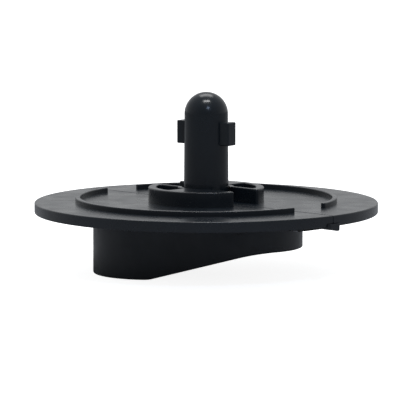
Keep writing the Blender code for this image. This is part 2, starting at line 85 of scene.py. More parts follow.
# Plate details
SEAM_ANGLE = math.radians(-45.0)
BORE_RADIUS = 8.3 * MM
RIM_ROUND = 0.4 * MM
SEAM_SHARE = 0.8
RIB_OUTER_RADIUS = 45.7 * MM
RIB_WIDTH = 1.65 * MM
RIB_HEIGHT = 1.75 * MM
RIB_ROUND = 0.33 * MM
RIB_CORNER = 0.5 * MM
FRONT_RIB_DEG = (187.7, 356.0)
REAR_RIB_DEG = (17.5, 169.0)
COLLAR_RADIUS = 20.2 * MM
COLLAR_WALL = 2.7 * MM
POCKET_WALL = 1.5 * MM
POCKET_WEB = 1.0 * MM
COLLAR_ROUND = 0.45 * MM
COLLAR_CORNER = 0.7 * MM
CHANNEL_HALF_WIDTH = 5.5 * MM
BAY_RADIUS = 8.4 * MM
POCKET_DROP = 0.4 * MM
POCKET_FLOOR_ROUND, POCKET_MOUTH_ROUND = 0.3 * MM, 0.35 * MM
RUN_GAP = 0.12 * MM
LATCH_RUN_TOP = LATCH_TOP + RUN_GAP
STOP_ORBIT = 15.5 * MM
STOP_HALF_WIDTH = 1.56 * MM
STOP_DEPTH = 1.6 * MM
STOP_DEG = (174.0, 276.0)
STOP_CORNER = 0.8 * MM

# Grip details
GRIP_RISE = 9.1 * MM
RAMP_START_X, RAMP_START_BLEND = -19.9 * MM, 1.5 * MM
RAMP_END_X, RAMP_END_BLEND = 17.8 * MM, 6.5 * MM
GRIP_WALL = 2.4 * MM
LEDGE_WALL = 1.2 * MM
GRIP_ROUND, CAVITY_ROUND, REBATE_ROUND = 0.5 * MM, 0.8 * MM, 0.25 * MM
LID_THICKNESS = 3.0 * MM
SOCKET_HALF = 5.2 * MM
SOCKET_FLOOR = 12.1 * MM
COUNTERBORE_TOP = 10.1 * MM
COUNTERBORE_RADIUS = 4.8 * MM
SCREW_BORE_RADIUS, SCREW_BORE_TOP = 2.3 * MM, 14.0 * MM
HUB_RADIUS, HUB_BASE = 9.5 * MM, 6.4 * MM
LID_BOSS_RADIUS, LID_BOSS_SINK, LID_PILOT_BOTTOM = 3.2 * MM, 1.2 * MM, 13.2 * MM
LID_SCREWS = [(x * MM, y * MM) for x in (-30.0, 24.0) for y in (-9.0, 9.0)]
CAP_TRIM, CAP_THICK, CAP_BLANK_TOP = 0.15 * MM, 1.0 * MM, 7.0 * MM
CAP_SLOT_HALF, CAP_SLOT_DEPTH = (0.6 * MM, 3.0 * MM), 0.6 * MM
MARK_X, MARK_Z = 10.9 * MM, 16.3 * MM
MARK_HALF_WIDTH, MARK_HALF_HEIGHT, MARK_DEPTH = 0.95 * MM, 0.75 * MM, 0.35 * MM

# Spindle details
POST_BASE_RADIUS = 7.85 * MM
POST_TIP_RADIUS = 7.6 * MM
JOURNAL_RADIUS = 6.9 * MM
LUG_ANGLE = math.radians(-35.0)
LUG_REACH = 11.0 * MM
LUG_THICKNESS = 4.8 * MM
LUG_LEVELS = (PLATE_TOP + 20.0 * MM, PLATE_TOP + 28.1 * MM)
JOURNAL_END = 17.6 * MM
POST_ROUND = 0.4 * MM
LUG_CORNER, LUG_ROUND = 0.5 * MM, 0.35 * MM
FOOT_CORNER, FOOT_ROUND = 0.7 * MM, 0.45 * MM
INSERT_HOLE_RADIUS, INSERT_HOLE_TOP = 3.4 * MM, 22.0 * MM

# Latch, straps and screws, with the seam along X
LATCH_HALF_WIDTH = 2.9 * MM
LATCH_EAR = 4.2 * MM
LATCH_REACH = 60.9 * MM
LATCH_INNER_X, LATCH_EAR_END_X = 47.3 * MM, 48.8 * MM
LATCH_STEP_X, TOOTH_START_X = 54.4 * MM, 54.0 * MM
TOOTH_CORNER = 1.0 * MM
LATCH_CORNER, LATCH_BOTTOM_ROUND, LATCH_TOP_ROUND = 0.4 * MM, 0.6 * MM, 0.1 * MM
TOOTH_RAMP = ((-2.9 * MM, 20.8 * MM), (1.8 * MM, 19.65 * MM))
LATCH_THIN_BOTTOM = 20.5 * MM
GUIDE_X, GUIDE_HALF_WIDTH, GUIDE_END_WALL = (42.0 * MM, 52.0 * MM), 8.0 * MM, 1.0 * MM
TIE_X, TIE_HALF_WIDTH = (-54.0 * MM, -43.0 * MM), 7.0 * MM
GUIDE_SCREWS = [(x * MM, y * MM) for x in (44.2, 49.8) for y in (-6.3, 6.3)]
TIE_SCREWS = [(x * MM, y * MM) for x in (-51.0, -46.0) for y in (-4.4, 4.4)]
HEAD_RADIUS, SHANK_RADIUS = 1.9 * MM, 1.0 * MM
HEAD_RIM, CONE_HEIGHT, HEAD_CHAMFER = 0.3 * MM, 0.9 * MM, 0.1 * MM
THREAD_ROOT, THREAD_PITCH, THREAD_END = 0.78 * MM, 0.5 * MM, 0.4 * MM
POINT_RADIUS, POINT_HEIGHT = 0.3 * MM, 0.3 * MM
RECESS_HALF_LENGTH, RECESS_HALF_WIDTH, RECESS_DEPTH = 1.05 * MM, 0.2 * MM, 0.8 * MM
STRAP_CORNER, STRAP_ROUNDS = 0.8 * MM, (0.3 * MM, 0.1 * MM)
SCREW_BOTTOM, SCREW_TOP = SCREW_LOW.z, SCREW_HIGH.z


# ---------------------------------------------------------------- materials

def node_material(name):
    made = bpy.data.materials.new(name)
    made.use_nodes = True
    nodes, links = made.node_tree.nodes, made.node_tree.links
    return made, nodes, links, nodes["Principled BSDF"]


def noise(nodes, links, scale, detail=3.0, stretch=(1.0, 1.0, 1.0)):
    """Noise over the object's own coordinates; scale is in waves per metre."""
    place = nodes.new("ShaderNodeTexCoord")
    mapping = nodes.new("ShaderNodeMapping")
    mapping.inputs["Scale"].default_value = stretch
    texture = nodes.new("ShaderNodeTexNoise")
    texture.inputs["Scale"].default_value = scale
    texture.inputs["Detail"].default_value = detail
    links.new(place.outputs["Object"], mapping.inputs["Vector"])
    links.new(mapping.outputs["Vector"], texture.inputs["Vector"])
    return texture.outputs["Fac"]


def remap(nodes, links, source, low, high, start=0.3, end=0.7):
    change = nodes.new("ShaderNodeMapRange")
    change.inputs["From Min"].default_value = start
    change.inputs["From Max"].default_value = end
    change.inputs["To Min"].default_value = low
    change.inputs["To Max"].default_value = high
    links.new(source, change.inputs["Value"])
    return change.outputs["Result"]


def mixed_colour(nodes, links, factor, first, second):
    mix = nodes.new("ShaderNodeMix")
    mix.data_type = "RGBA"
    mix.inputs["A"].default_value = (*first, 1.0)
    mix.inputs["B"].default_value = (*second, 1.0)
    links.new(factor, mix.inputs["Factor"])
    return mix


def edge_mask(nodes, links, reach):
    """White along outer edges, broken up by fine noise so that the wear looks handled."""
    inside = nodes.new("ShaderNodeAmbientOcclusion")
    inside.inside = True
    inside.samples = 6
    inside.inputs["Distance"].default_value = reach
    edges = remap(nodes, links, inside.outputs["AO"], 1.0, 0.0, 0.25, 0.75)
    broken = remap(nodes, links, noise(nodes, links, 700.0, 4.0), 0.0, 1.0, 0.40, 0.66)
    product = nodes.new("ShaderNodeMath")
    product.operation = "MULTIPLY"
    product.use_clamp = True
    links.new(edges, product.inputs[0])
    links.new(broken, product.inputs[1])
    return product.outputs[0]


def bump(nodes, links, shader, height, strength, distance):
    made = nodes.new("ShaderNodeBump")
    made.inputs["Strength"].default_value = strength
    made.inputs["Distance"].default_value = distance
    links.new(height, made.inputs["Height"])
    links.new(made.outputs["Normal"], shader.inputs["Normal"])


def moulded_plastic(name, colour, roughness, specular, grain, grain_scale=2600.0, worn=(0.06, 0.062, 0.066)):
    """Injection-moulded plastic: faint flow clouding, uneven gloss, fine skin grain and rubbed edges."""
    made, nodes, links, shader = node_material(name)
    shader.inputs["Specular IOR Level"].default_value = specular
    cloudy = remap(nodes, links, noise(nodes, links, 38.0, 4.0), 0.0, 1.0)
    lighter = tuple(1.45 * c for c in colour)
    base = mixed_colour(nodes, links, cloudy, colour, lighter)
    wear = mixed_colour(nodes, links, edge_mask(nodes, links, WEAR_REACH), colour, worn)
    links.new(base.outputs["Result"], wear.inputs["A"])
    links.new(wear.outputs["Result"], shader.inputs["Base Color"])
    handled = noise(nodes, links, 120.0, 6.0)
    links.new(remap(nodes, links, handled, roughness * 0.86, roughness * 1.22), shader.inputs["Roughness"])
    bump(nodes, links, shader, noise(nodes, links, grain_scale, 2.0), grain, SKIN_DEPTH)
    return made


def brushed_metal(name, colour, roughness, stretch, darker=0.7):
    """Metal with fine drawn lines along one direction and duller patches."""
    made, nodes, links, shader = node_material(name)
    shader.inputs["Metallic"].default_value = 1.0
    lines = noise(nodes, links, 900.0, 3.0, stretch)
    patches = remap(nodes, links, noise(nodes, links, 180.0, 3.0), 0.0, 1.0)
    tint = mixed_colour(nodes, links, patches, colour, tuple(darker * c for c in colour))
    links.new(tint.outputs["Result"], shader.inputs["Base Color"])
    links.new(remap(nodes, links, lines, roughness * 0.75, roughness * 1.4), shader.inputs["Roughness"])
    bump(nodes, links, shader, lines, 0.25, BRUSH_DEPTH)
    return made


PLATE_BLACK = moulded_plastic("plate_black", (0.0060, 0.0090, 0.0130), 0.27, 0.40, 0.05)
SPINDLE_BLACK = moulded_plastic("spindle_black", (0.0050, 0.0085, 0.0125), 0.22, 0.40, 0.06)
GRIP_BLACK = moulded_plastic("grip_black", (0.0150, 0.0190, 0.0250), 0.38, 0.38, 0.10)
LATCH_BLACK = moulded_plastic("latch_black", (0.0060, 0.0085, 0.0120), 0.30, 0.38, 0.10)
MATT_BLACK = moulded_plastic("glass_filled_black", (0.012, 0.012, 0.013), 0.52, 0.40, 0.45, 1500.0)
ACETAL = moulded_plastic("natural_acetal", (0.60, 0.59, 0.54), 0.38, 0.45, 0.15, 1800.0, (0.78, 0.77, 0.72))
ZINC = brushed_metal("zinc_plated_steel", (0.56, 0.57, 0.60), 0.30, (1.0, 1.0, 0.08))
SPRING_STEEL = brushed_metal("bright_spring_steel", (0.48, 0.49, 0.51), 0.24, (0.1, 1.0, 1.0))
BRASS = brushed_metal("machined_brass", (0.62, 0.44, 0.18), 0.28, (1.0, 1.0, 0.08))


# ---------------------------------------------------------------- shapes

def cleaned(shape):
    """Merges coincident corners and turns the closed surface outwards."""
    bmesh.ops.remove_doubles(shape, verts=shape.verts, dist=MERGE)
    bmesh.ops.recalc_face_normals(shape, faces=shape.faces)
    if shape.calc_volume(signed=True) < 0.0:
        bmesh.ops.reverse_faces(shape, faces=shape.faces)


def made_object(name, shape):
    cleaned(shape)
    mesh = bpy.data.meshes.new(name)
    shape.to_mesh(mesh)
    shape.free()
    obj = bpy.data.objects.new(name, mesh)
    bpy.context.scene.collection.objects.link(obj)
    return obj


def arc(radius, start, end, steps, centre=(0.0, 0.0)):
    """Points from angle start to angle end in radians, ends included."""
    angles = [start + (end - start) * i / steps for i in range(steps + 1)]
    return [(centre[0] + radius * math.cos(a), centre[1] + radius * math.sin(a)) for a in angles]


def signed_area(points):
    pairs = zip(points, points[1:] + points[:1])
    return sum(a[0] * b[1] - a[1] * b[0] for a, b in pairs) / 2


def moved_in(points, inset):
    """The outline with each corner moved inwards along its mitre; a negative inset moves it outwards."""
    if signed_area(points) < 0.0:
        points = points[::-1]
    moved = []
    for i, here in enumerate(points):
        before, after = Vector(points[i - 1]), Vector(points[(i + 1) % len(points)])
        first, second = (Vector(here) - before).normalized(), (after - Vector(here)).normalized()
        inward = Vector((-first.y - second.y, first.x + second.x))
        mitre = inward / (1.0 + first.dot(second))
        moved.append(tuple(Vector(here) + inset * mitre))
    return moved


def softened(points, radius, sharp_deg=25.0, steps=4):
    """The outline with each corner sharper than sharp_deg replaced by a small arc."""
    if signed_area(points) < 0.0:
        points = points[::-1]
    corners = {}
    for i, here in enumerate(points):
        corner = Vector(here)
        first = (corner - Vector(points[i - 1])).normalized()
        second = (Vector(points[(i + 1) % len(points)]) - corner).normalized()
        turn = math.atan2(first.cross(second), first.dot(second))
        if abs(turn) > math.radians(sharp_deg):
            corners[i] = (corner, first, turn, radius * math.tan(abs(turn) / 2))
    soft = []
    for i, here in enumerate(points):
        if i not in corners:
            if all((Vector(here) - corner).length > reach for corner, _, _, reach in corners.values()):
                soft.append(here)
            continue
        corner, first, turn, reach = corners[i]
        start = corner - first * reach
        centre = start + math.copysign(radius, turn) * Vector((-first.y, first.x))
        for k in range(steps + 1):
            soft.append(tuple(centre + Matrix.Rotation(turn * k / steps, 2) @ (start - centre)))
    return soft


def lofted(name, ring_of, levels):
    """A closed solid through the outlines ring_of(inset) at the (inset, z) levels, bottom to top."""
    shape = bmesh.new()
    rings = [[shape.verts.new((x, y, z)) for x, y in ring_of(inset)] for inset, z in levels]
    shape.faces.new(rings[0])
    shape.faces.new(rings[-1])
    for here, there in zip(rings, rings[1:]):
        for i in range(len(here)):
            after = (i + 1) % len(here)
            shape.faces.new((here[i], here[after], there[after], there[i]))
    return made_object(name, shape)


def rounded_bottom(radius, level, steps=4):
    turns = [math.pi / 2 * i / steps for i in range(steps + 1)]
    return [(radius * (1 - math.sin(a)), level + radius * (1 - math.cos(a))) for a in turns]


def rounded_top(radius, level, steps=4):
    return [(inset, 2 * level - z) for inset, z in reversed(rounded_bottom(radius, level, steps))]


def flared_mouth(radius, level, steps=4):
    """Levels of a cutter whose mouth at that level leaves a rounded rim."""
    turns = [math.pi / 2 * i / steps for i in range(steps + 1)]
    flare = [(-radius * (1 - math.cos(a)), level - radius + radius * math.sin(a)) for a in turns]
    return flare + [(-radius, level + OVERLAP)]


def solid_prism(name, points, low, high, bottom_round=0.0, top_round=0.0):
    bottom = rounded_bottom(bottom_round, low) if bottom_round else [(0.0, low)]
    top = rounded_top(top_round, high) if top_round else [(0.0, high)]
    return lofted(name, lambda inset: moved_in(points, inset), bottom + top)


def turned(name, profile, steps=96, centre=(0.0, 0.0)):
    """A closed (radius, z) profile turned round a vertical axis; radius 0 lies on that axis."""
    shape = bmesh.new()
    rings = []
    for radius, z in profile:
        if radius == 0.0:
            rings.append([shape.verts.new((*centre, z))] * steps)
        else:
            circle = arc(radius, 0, 2 * math.pi, steps, centre)[:-1]
            rings.append([shape.verts.new((x, y, z)) for x, y in circle])
    for here, there in zip(rings, rings[1:] + rings[:1]):
        for i in range(steps):
            after = (i + 1) % steps
            corners = dict.fromkeys((here[i], here[after], there[after], there[i]))
            if len(corners) > 2:
                shape.faces.new(list(corners))
    return made_object(name, shape)


def column(name, radius, low, high, steps, centre=(0.0, 0.0)):
    """A plain round block, added as a boss or cut out as a hole."""
    return turned(name, [(0.0, low), (radius, low), (radius, high), (0.0, high)], steps, centre)


def box(name, low, high):
    outline = [(low[0], low[1]), (high[0], low[1]), (high[0], high[1]), (low[0], high[1])]
    return solid_prism(name, outline, low[2], high[2])


def upright(name, side):
    """A side view of (x, z) points extruded right through along Y."""
    helper = solid_prism(name, side, -FAR, FAR)
    helper.data.transform(Matrix.Rotation(math.pi / 2, 4, "X"))
    return helper


def lengthwise(name, section, start, end):
    """A cross-section of (y, z) points extruded along X from start to end."""
    helper = solid_prism(name, section, start, end)
    helper.data.transform(Matrix(((0, 0, 1), (1, 0, 0), (0, 1, 0))).to_4x4())
    return helper


def combined(target, helper, operation):
    """Applies one Boolean to target's mesh and removes the helper."""
    change = target.modifiers.new("combine", "BOOLEAN")
    change.operation = operation
    change.solver = "MANIFOLD"
    change.object = helper
    bpy.context.view_layer.update()
    graph = bpy.context.evaluated_depsgraph_get()
    mesh = bpy.data.meshes.new_from_object(target.evaluated_get(graph))
    target.modifiers.clear()
    old, target.data = target.data, mesh
    bpy.data.meshes.remove(old)
    bpy.data.objects.remove(helper, do_unlink=True)
    return target


def cut(target, *helpers):
    for helper in helpers:
        combined(target, helper, "DIFFERENCE")
    return target


def join(target, *helpers):
    for helper in helpers:
        combined(target, helper, "UNION")
    return target


def finished(obj, turn, material, body, slot, *nodes):
    """Turns the mesh about Z, gives it its material and shading, and puts it on its body."""
    obj.data.transform(Matrix.Rotation(turn, 4, "Z"))
    obj.data.materials.clear()
    obj.data.materials.append(material)
    obj.data.shade_smooth()
    obj.data.set_sharp_from_angle(angle=math.radians(SHARP_DEG))
    weighted = obj.modifiers.new("flat faces stay flat", "WEIGHTED_NORMAL")
    weighted.keep_sharp = True
    weighted.weight = 100
    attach(obj, body)
    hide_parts(*nodes)
    return obj


# ---------------------------------------------------------------- plate

def dee(outer, flat, bay, side, steps=64):
    """A half-round outline: an outer arc, a flat beside the seam and a bay round the axis."""
    out, turn = math.asin(flat / outer), math.asin(flat / bay)
    points = arc(outer, out, math.pi - out, steps) + arc(bay, math.pi - turn, turn, steps // 2)
    return [(x, side * y) for x, y in points]


def latch_run(name, start, low, high):
    """The T-shaped space that the latch slides in, wide where its ears travel, as a helper."""
    ear, run, step = LATCH_EAR + RUN_GAP, LATCH_HALF_WIDTH + RUN_GAP, LATCH_EAR_END_X + RUN_GAP
    upper = [(FAR, run), (step, run), (step, ear), (start, ear)]
    return solid_prism(name, upper + [(x, -y) for x, y in reversed(upper)], low, high)


def half_plate(node, side, rib_deg):
    """One half of the split plate; side is 1 for the half on the seam's +Y side and -1 for the other."""
    def plate_ring(inset):
        flat, bore = GAP / 2 + SEAM_SHARE * inset, BORE_RADIUS + SEAM_SHARE * inset
        points = dee(PLATE_RADIUS - inset, flat, bore, side, 128)
        return points if signed_area(points) > 0.0 else points[::-1]

    levels = rounded_bottom(RIM_ROUND, PLATE_BOTTOM) + rounded_top(RIM_ROUND, PLATE_TOP)
    plate = lofted(f"{node}_detail", plate_ring, levels)
    sink = (PLATE_BOTTOM + PLATE_TOP) / 2
    start, end = (math.radians(a) for a in rib_deg)
    rib = arc(RIB_OUTER_RADIUS, start, end, 128)
    rib += arc(RIB_OUTER_RADIUS - RIB_WIDTH, end, start, 128)
    join(plate, solid_prism("rib", softened(rib, RIB_CORNER), sink, PLATE_TOP + RIB_HEIGHT, 0.0, RIB_ROUND))
    boss = softened(dee(COLLAR_RADIUS, CHANNEL_HALF_WIDTH, BAY_RADIUS, side), COLLAR_CORNER)
    join(plate, solid_prism("boss", boss, sink, COLLAR_TOP, 0.0, COLLAR_ROUND))
    outer, bay, flat = COLLAR_RADIUS - COLLAR_WALL, BAY_RADIUS + POCKET_WALL, CHANNEL_HALF_WIDTH + POCKET_WALL
    pocket = arc(outer, math.asin(flat / outer), math.acos(POCKET_WEB / outer), 32)
    pocket += arc(bay, math.acos(POCKET_WEB / bay), math.asin(flat / bay), 24)
    pocket = softened([(side * x, side * y) for x, y in pocket], COLLAR_CORNER)
    levels = rounded_bottom(POCKET_FLOOR_ROUND, PLATE_TOP - POCKET_DROP)
    levels += flared_mouth(POCKET_MOUTH_ROUND, COLLAR_TOP)
    cut(plate, lofted("pocket", lambda inset: moved_in(pocket, inset), levels))
    cut(plate, latch_run("latch_run", GUIDE_X[0], 0.0, LATCH_RUN_TOP))
    for x, y in GUIDE_SCREWS + TIE_SCREWS:
        if y * side > 0.0:
            cut(plate, column("pilot", SHANK_RADIUS + GAP, 0.0, SCREW_TOP + GAP, 24, (x, y)))
    if side < 0.0:
        start, end = (math.radians(a) - SEAM_ANGLE for a in STOP_DEG)
        groove = arc(STOP_ORBIT + STOP_HALF_WIDTH, start, end, 48)
        groove += arc(STOP_ORBIT - STOP_HALF_WIDTH, end, start, 48)
        cut(plate, solid_prism("stop_groove", softened(groove, STOP_CORNER), 0.0, PLATE_BOTTOM + STOP_DEPTH))
    return finished(plate, SEAM_ANGLE, PLATE_BLACK, "plate", "plate_plastic", node)


half_plate("front_half_plate", -1.0, FRONT_RIB_DEG)
half_plate("rear_half_plate", 1.0, REAR_RIB_DEG)


# ---------------------------------------------------------------- spindle

def spindle():
    """The domed post with its two lugs, shoulder, journal and square foot."""
    shoulder, soft = PLATE_TOP + GAP, POST_ROUND
    dome_centre = SPINDLE_TOP - POST_TIP_RADIUS
    dome = [(r, z + dome_centre) for r, z in arc(POST_TIP_RADIUS, 0.0, math.pi / 2, 24)[:-1]]
    profile = [
        (0.0, JOURNAL_END), (JOURNAL_RADIUS - soft, JOURNAL_END), (JOURNAL_RADIUS, JOURNAL_END + soft),
        (JOURNAL_RADIUS, shoulder), (POST_BASE_RADIUS - soft, shoulder), (POST_BASE_RADIUS, shoulder + soft),
    ]
    profile += dome + [(0.0, SPINDLE_TOP)]
    post = turned("spindle_detail", profile, 128)
    half = LUG_THICKNESS / 2
    lug = [(-LUG_REACH, -half), (LUG_REACH, -half), (LUG_REACH, half), (-LUG_REACH, half)]
    lugs = solid_prism("lugs", softened(lug, LUG_CORNER), *LUG_LEVELS, LUG_ROUND, LUG_ROUND)
    lugs.data.transform(Matrix.Rotation(LUG_ANGLE, 4, "Z"))
    side = SOCKET_HALF - GAP
    square = softened([(-side, -side), (side, -side), (side, side), (-side, side)], FOOT_CORNER)
    join(post, lugs, solid_prism("foot", square, FOOT_BOTTOM, JOURNAL_END + OVERLAP, FOOT_ROUND))
    cut(post, column("insert_hole", INSERT_HOLE_RADIUS, 0.0, INSERT_HOLE_TOP, 48))
    return finished(post, 0.0, SPINDLE_BLACK, "grip", "spindle_plastic", "spindle")


spindle()


# ---------------------------------------------------------------- grip

def ramp(x):
    """Height of the grip's underside: flat, a straight ramp with blended ends, and flat again."""
    slope = GRIP_RISE / (RAMP_END_X - RAMP_START_X)
    if x < RAMP_START_X - RAMP_START_BLEND:
        return 0.0
    if x < RAMP_START_X + RAMP_START_BLEND:
        return slope * (x - RAMP_START_X + RAMP_START_BLEND) ** 2 / (4 * RAMP_START_BLEND)
    if x < RAMP_END_X - RAMP_END_BLEND:
        return slope * (x - RAMP_START_X)
    if x < RAMP_END_X + RAMP_END_BLEND:
        return GRIP_RISE - slope * (RAMP_END_X + RAMP_END_BLEND - x) ** 2 / (4 * RAMP_END_BLEND)
    return GRIP_RISE


def obround(inset, arc_steps=48, straight_steps=32):
    """The grip's outline from its rightmost point, counter-clockwise, the same above and below the X axis."""
    radius = GRIP_END_RADIUS - inset
    right, left = GRIP_CENTRE_X + GRIP_END_OFFSET, GRIP_CENTRE_X - GRIP_END_OFFSET
    upper = arc(radius, 0.0, math.pi / 2, arc_steps, (right, 0.0))
    upper += [(right + (left - right) * i / straight_steps, radius) for i in range(1, straight_steps)]
    upper += arc(radius, math.pi / 2, math.pi, arc_steps, (left, 0.0))
    return upper + [(x, -y) for x, y in reversed(upper[1:-1])]


def sloped_solid(name, inset, rise, roundness, top, steps=6):
    """An obround block whose underside follows the ramp, raised by rise, with a rounded lower edge."""
    shape = bmesh.new()
    rings = []
    for extra, height in rounded_bottom(roundness, rise, steps):
        rings.append([shape.verts.new((x, y, ramp(x) + height)) for x, y in obround(inset + extra)])
    rings.append([shape.verts.new((x, y, top)) for x, y in obround(inset)])
    for here, there in zip(rings, rings[1:]):
        for i in range(len(here)):
            after = (i + 1) % len(here)
            shape.faces.new((here[i], here[after], there[after], there[i]))
    shape.faces.new(rings[-1])
    low, half = rings[0], len(rings[0]) // 2
    for i in range(half):
        near, far = low[-i], low[-i - 1]
        shape.faces.new(list(dict.fromkeys((low[i], low[i + 1], far, near))))
    return made_object(name, shape)


def ejector_mark():
    """A shallow oval dent in the grip's front wall, as a helper."""
    circle = arc(1.0, 0.0, 2 * math.pi, 32)[:-1]
    oval = [(MARK_X + MARK_HALF_WIDTH * x, MARK_Z + MARK_HALF_HEIGHT * y) for x, y in circle]
    helper = solid_prism("mark", oval, GRIP_END_RADIUS - MARK_DEPTH, FAR)
    helper.data.transform(Matrix.Rotation(math.pi / 2, 4, "X"))
    return helper


def grip_shell():
    """The hollow wedge-shaped grip with its rebate, hub, screw bosses, socket and bore."""
    shell = sloped_solid("grip_shell_detail", 0.0, 0.0, GRIP_ROUND, GRIP_TOP)
    cut(shell, sloped_solid("cavity", GRIP_WALL, GRIP_WALL, CAVITY_ROUND, FAR))
    ledge = GRIP_TOP - LID_THICKNESS - GAP
    rebate = obround(LEDGE_WALL)
    levels = [(0.0, ledge)] + flared_mouth(REBATE_ROUND, GRIP_TOP)
    cut(shell, lofted("rebate", lambda inset: moved_in(rebate, inset), levels))
    join(shell, column("hub", HUB_RADIUS, HUB_BASE, HUB_BOTTOM - GAP, 64))
    for x, y in LID_SCREWS:
        join(shell, column("screw_boss", LID_BOSS_RADIUS, ramp(x) + LID_BOSS_SINK, ledge, 32, (x, y)))
        cut(shell, column("screw_pilot", SHANK_RADIUS + GAP, LID_PILOT_BOTTOM, FAR, 24, (x, y)))
    cut(shell, box("socket", (-SOCKET_HALF, -SOCKET_HALF, SOCKET_FLOOR), (SOCKET_HALF, SOCKET_HALF, FAR)))
    bore = [
        (0.0, -FAR), (COUNTERBORE_RADIUS, -FAR), (COUNTERBORE_RADIUS, COUNTERBORE_TOP),
        (SCREW_BORE_RADIUS, COUNTERBORE_TOP), (SCREW_BORE_RADIUS, SCREW_BORE_TOP), (0.0, SCREW_BORE_TOP),
    ]
    cut(shell, turned("bore", bore, 64), ejector_mark())
    return finished(shell, 0.0, GRIP_BLACK, "grip", "grip_plastic", "grip_shell")


def screw_cap():
    """Plug flush with the sloping underside, with a coin slot to lift it out."""
    cap = column("screw_cap_detail", COUNTERBORE_RADIUS - GAP, 0.0, CAP_BLANK_TOP, 64)
    slope = GRIP_RISE / (RAMP_END_X - RAMP_START_X)
    for offset, above in ((CAP_TRIM, False), (CAP_THICK, True)):
        middle = -RAMP_START_X * slope + offset
        edge = FAR if above else -FAR
        side = [(-FAR, middle - FAR * slope), (FAR, middle + FAR * slope), (FAR, edge), (-FAR, edge)]
        cut(cap, upright("trim", side))
    slot_x, slot_y = CAP_SLOT_HALF
    slot_top = -RAMP_START_X * slope + CAP_SLOT_DEPTH
    cut(cap, box("slot", (-slot_x, -slot_y, 0.0), (slot_x, slot_y, slot_top)))
    return finished(cap, 0.0, MATT_BLACK, "grip", "cap_plastic", "screw_cap")


grip_shell()
screw_cap()


# ---------------------------------------------------------------- latch, straps and their screws

def rim_latch():
    """The sliding bar: two ears, a thin run and a tooth with a ramp across its underside."""
    side, end = LATCH_HALF_WIDTH - TOOTH_CORNER, LATCH_REACH - TOOTH_CORNER
    nose = arc(TOOTH_CORNER, -math.pi / 2, 0.0, 16, (end, -side))
    nose += arc(TOOTH_CORNER, 0.0, math.pi / 2, 16, (end, side))
    outline = nose + [
        (LATCH_EAR_END_X, LATCH_HALF_WIDTH), (LATCH_EAR_END_X, LATCH_EAR), (LATCH_INNER_X, LATCH_EAR),
        (LATCH_INNER_X, -LATCH_EAR), (LATCH_EAR_END_X, -LATCH_EAR), (LATCH_EAR_END_X, -LATCH_HALF_WIDTH),
    ]
    outline = softened(outline, LATCH_CORNER)
    rounds = (LATCH_BOTTOM_ROUND, LATCH_TOP_ROUND)
    bar = solid_prism("rim_latch_detail", outline, LATCH_BOTTOM, LATCH_TOP, *rounds)
    relief = [(0.0, 0.0), (LATCH_STEP_X, 0.0), (LATCH_STEP_X, LATCH_THIN_BOTTOM), (0.0, LATCH_THIN_BOTTOM)]
    cut(bar, upright("relief", relief))
    (high_y, high_z), (low_y, low_z) = TOOTH_RAMP
    beyond = high_z + (high_z - low_z)
    section = [(2 * high_y - low_y, beyond), (2 * high_y - low_y, 0.0), (low_y, 0.0), (low_y, low_z)]
    cut(bar, lengthwise("ramp", section, TOOTH_START_X, FAR))
    return finished(bar, SEAM_ANGLE, LATCH_BLACK, "latch", "latch_plastic", "rim_latch")


def screw_hole():
    """The profile of a countersunk hole right through a strap."""
    head, shank, cone = HEAD_RADIUS + GAP, SHANK_RADIUS + GAP, STRAP_BOTTOM + HEAD_RIM
    return [(0.0, 0.0), (head, 0.0), (head, cone), (shank, cone + CONE_HEIGHT), (shank, FAR), (0.0, FAR)]


def strap(node, x_range, half_width, places):
    """A flat strap with rounded corners and a countersunk hole at each place."""
    start, end = x_range
    outline = [(start, -half_width), (end, -half_width), (end, half_width), (start, half_width)]
    outline = softened(outline, STRAP_CORNER)
    made = solid_prism(f"{node}_detail", outline, STRAP_BOTTOM, STRAP_TOP, *STRAP_ROUNDS)
    for place in places:
        cut(made, turned("hole", screw_hole(), 40, place))
    return made


def countersunk_screw(node, place):
    """A thread-forming screw: a head with a cross recess below, and a shank with a rolled thread."""
    root, cone_end = THREAD_ROOT, STRAP_BOTTOM + HEAD_RIM + CONE_HEIGHT
    profile = [
        (0.0, SCREW_BOTTOM), (HEAD_RADIUS - HEAD_CHAMFER, SCREW_BOTTOM),
        (HEAD_RADIUS, SCREW_BOTTOM + HEAD_CHAMFER), (HEAD_RADIUS, STRAP_BOTTOM + HEAD_RIM), (root, cone_end),
    ]
    z = cone_end
    while z + THREAD_PITCH < SCREW_TOP - THREAD_END:
        low, crest, high = (z + share * THREAD_PITCH for share in (0.3, 0.6, 0.9))
        profile += [(root, low), (SHANK_RADIUS, crest), (root, high)]
        z += THREAD_PITCH
    profile += [(root, SCREW_TOP - POINT_HEIGHT), (POINT_RADIUS, SCREW_TOP), (0.0, SCREW_TOP)]
    screw = turned(f"{node}_detail", profile, 32, place)
    long, short = RECESS_HALF_LENGTH, RECESS_HALF_WIDTH
    for half_x, half_y in ((long, short), (short, long)):
        low = (place[0] - half_x, place[1] - half_y, 0.0)
        high = (place[0] + half_x, place[1] + half_y, SCREW_BOTTOM + RECESS_DEPTH)
        cut(screw, box("recess", low, high))
    return finished(screw, SEAM_ANGLE, ZINC, "plate", "fastener_steel", node)


def latch_spring():
    """The return spring in its CAD shape."""
    spring = bpy.data.objects.new("latch_spring_detail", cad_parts["latch_spring"].data.copy())
    bpy.context.scene.collection.objects.link(spring)
    finished(spring, 0.0, SPRING_STEEL, "plate", "spring_steel", "latch_spring")
    spring.modifiers.clear()
    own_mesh(spring)


